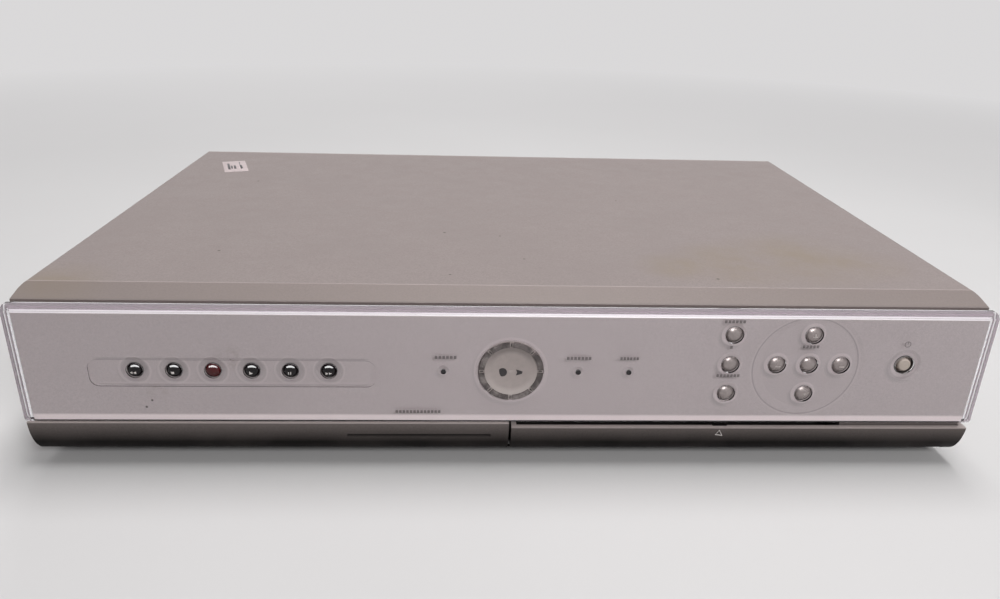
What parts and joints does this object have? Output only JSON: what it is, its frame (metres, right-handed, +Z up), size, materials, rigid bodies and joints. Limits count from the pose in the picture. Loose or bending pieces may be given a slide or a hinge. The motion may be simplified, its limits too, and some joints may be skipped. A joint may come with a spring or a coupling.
{
  "type": "satellite tv receiver",
  "caption": "Silver set-top satellite receiver with a hard disk: clear front panel with dome buttons and a ring display, hinged card flap, steel cover and rear sockets.",
  "frame": {"origin": "middle of the bounding box's footprint, on the plane that the feet stand on", "axes": "+X to the right seen from the front, +Y from the front to the rear, +Z up; the front faces -Y"},
  "size_m": [0.362, 0.2512, 0.071],
  "materials": {
    "cover_paint": "satin",
    "bare_steel": "brushed",
    "silver_plastic": "satin metallic",
    "clear_acrylic": "polished",
    "trim_plastic": "satin metallic",
    "pin_steel": "turned",
    "dark_button": "gloss",
    "red_button": "gloss",
    "silver_button": "satin metallic",
    "standby_cap": "satin",
    "display_segments": "gloss",
    "display_disc": "satin metallic",
    "light_pipe": "gloss",
    "circuit_board": "varnished",
    "power_card": "plain",
    "black_plastic": "moulded",
    "chip_black": "moulded",
    "black_aluminium": "anodised",
    "tin_can": "tinned",
    "nickel": "plated",
    "ferrite_core": "matt",
    "capacitor_sleeve": "sleeved",
    "aluminium": "extruded",
    "disk_cast": "cast",
    "ribbon": "satin",
    "foot_rubber": "matt",
    "screw_zinc": "zinc plated"
  },
  "bodies": {
    "housing": {"top_cover": "cover_paint", "chassis_base": "bare_steel", "rear_panel": "bare_steel", "front_fascia": "silver_plastic", "front_lens": "clear_acrylic", "lower_trim": "trim_plastic", "flap_pins": "pin_steel", "display_ring": "display_segments", "display_lens": "display_disc", "light_pipes": "light_pipe", "front_board": "circuit_board", "tact_switches": "black_plastic", "main_board": "circuit_board", "board_chips": "chip_black", "chip_heat_sink": "black_aluminium", "tuner_modules": "tin_can", "power_board": "power_card", "transformer": "ferrite_core", "capacitors": "capacitor_sleeve", "power_heat_sinks": "aluminium", "hard_disk": "disk_cast", "disk_bracket": "bare_steel", "ribbon_cables": "ribbon", "card_reader_left": "black_plastic", "card_reader_right": "black_plastic", "fan_frame": "black_plastic", "lnb_connectors": "nickel", "rf_sockets": "tin_can", "scart_sockets": "black_plastic", "phono_sockets": "nickel", "s_video_socket": "black_plastic", "optical_socket": "black_plastic", "serial_socket": "tin_can", "phone_socket": "black_plastic", "mains_inlet": "black_plastic", "feet": "foot_rubber", "cover_screws": "screw_zinc", "rear_screws": "screw_zinc", "board_screws": "screw_zinc"},
    "button_rewind": {"button_rewind": "dark_button"},
    "button_stop": {"button_stop": "dark_button"},
    "button_record": {"button_record": "red_button"},
    "button_play": {"button_play": "dark_button"},
    "button_pause": {"button_pause": "dark_button"},
    "button_forward": {"button_forward": "dark_button"},
    "button_back": {"button_back": "silver_button"},
    "button_info": {"button_info": "silver_button"},
    "button_guide": {"button_guide": "silver_button"},
    "button_up": {"button_up": "silver_button"},
    "button_left": {"button_left": "silver_button"},
    "button_select": {"button_select": "silver_button"},
    "button_right": {"button_right": "silver_button"},
    "button_down": {"button_down": "silver_button"},
    "button_standby": {"button_standby": "standby_cap"},
    "flap": {"card_flap": "trim_plastic"},
    "fan_rotor": {"fan_rotor": "black_plastic"}
  },
  "joints": [
    {"name": "press_rewind", "type": "slide", "parent": "housing", "child": "button_rewind", "axis": [0, 1, 0], "range_m": [0, 0.0008], "stiffness_N_per_m": 300},
    {"name": "press_stop", "type": "slide", "parent": "housing", "child": "button_stop", "axis": [0, 1, 0], "range_m": [0, 0.0008], "stiffness_N_per_m": 300},
    {"name": "press_record", "type": "slide", "parent": "housing", "child": "button_record", "axis": [0, 1, 0], "range_m": [0, 0.0008], "stiffness_N_per_m": 300},
    {"name": "press_play", "type": "slide", "parent": "housing", "child": "button_play", "axis": [0, 1, 0], "range_m": [0, 0.0008], "stiffness_N_per_m": 300},
    {"name": "press_pause", "type": "slide", "parent": "housing", "child": "button_pause", "axis": [0, 1, 0], "range_m": [0, 0.0008], "stiffness_N_per_m": 300},
    {"name": "press_forward", "type": "slide", "parent": "housing", "child": "button_forward", "axis": [0, 1, 0], "range_m": [0, 0.0008], "stiffness_N_per_m": 300},
    {"name": "press_back", "type": "slide", "parent": "housing", "child": "button_back", "axis": [0, 1, 0], "range_m": [0, 0.0008], "stiffness_N_per_m": 300},
    {"name": "press_info", "type": "slide", "parent": "housing", "child": "button_info", "axis": [0, 1, 0], "range_m": [0, 0.0008], "stiffness_N_per_m": 300},
    {"name": "press_guide", "type": "slide", "parent": "housing", "child": "button_guide", "axis": [0, 1, 0], "range_m": [0, 0.0008], "stiffness_N_per_m": 300},
    {"name": "press_up", "type": "slide", "parent": "housing", "child": "button_up", "axis": [0, 1, 0], "range_m": [0, 0.0008], "stiffness_N_per_m": 300},
    {"name": "press_left", "type": "slide", "parent": "housing", "child": "button_left", "axis": [0, 1, 0], "range_m": [0, 0.0008], "stiffness_N_per_m": 300},
    {"name": "press_select", "type": "slide", "parent": "housing", "child": "button_select", "axis": [0, 1, 0], "range_m": [0, 0.0008], "stiffness_N_per_m": 300},
    {"name": "press_right", "type": "slide", "parent": "housing", "child": "button_right", "axis": [0, 1, 0], "range_m": [0, 0.0008], "stiffness_N_per_m": 300},
    {"name": "press_down", "type": "slide", "parent": "housing", "child": "button_down", "axis": [0, 1, 0], "range_m": [0, 0.0008], "stiffness_N_per_m": 300},
    {"name": "press_standby", "type": "slide", "parent": "housing", "child": "button_standby", "axis": [0, 1, 0], "range_m": [0, 0.0008], "stiffness_N_per_m": 300},
    {"name": "flap_hinge", "type": "hinge", "parent": "housing", "child": "flap", "pos_m": [0.09, -0.11694, 0.0073], "axis": [1, 0, 0], "range_deg": [0, 80]},
    {"name": "fan_spin", "type": "hinge", "parent": "housing", "child": "fan_rotor", "pos_m": [0.099, 0.10475, 0.035], "axis": [0, 1, 0], "continuous": true}
  ]
}
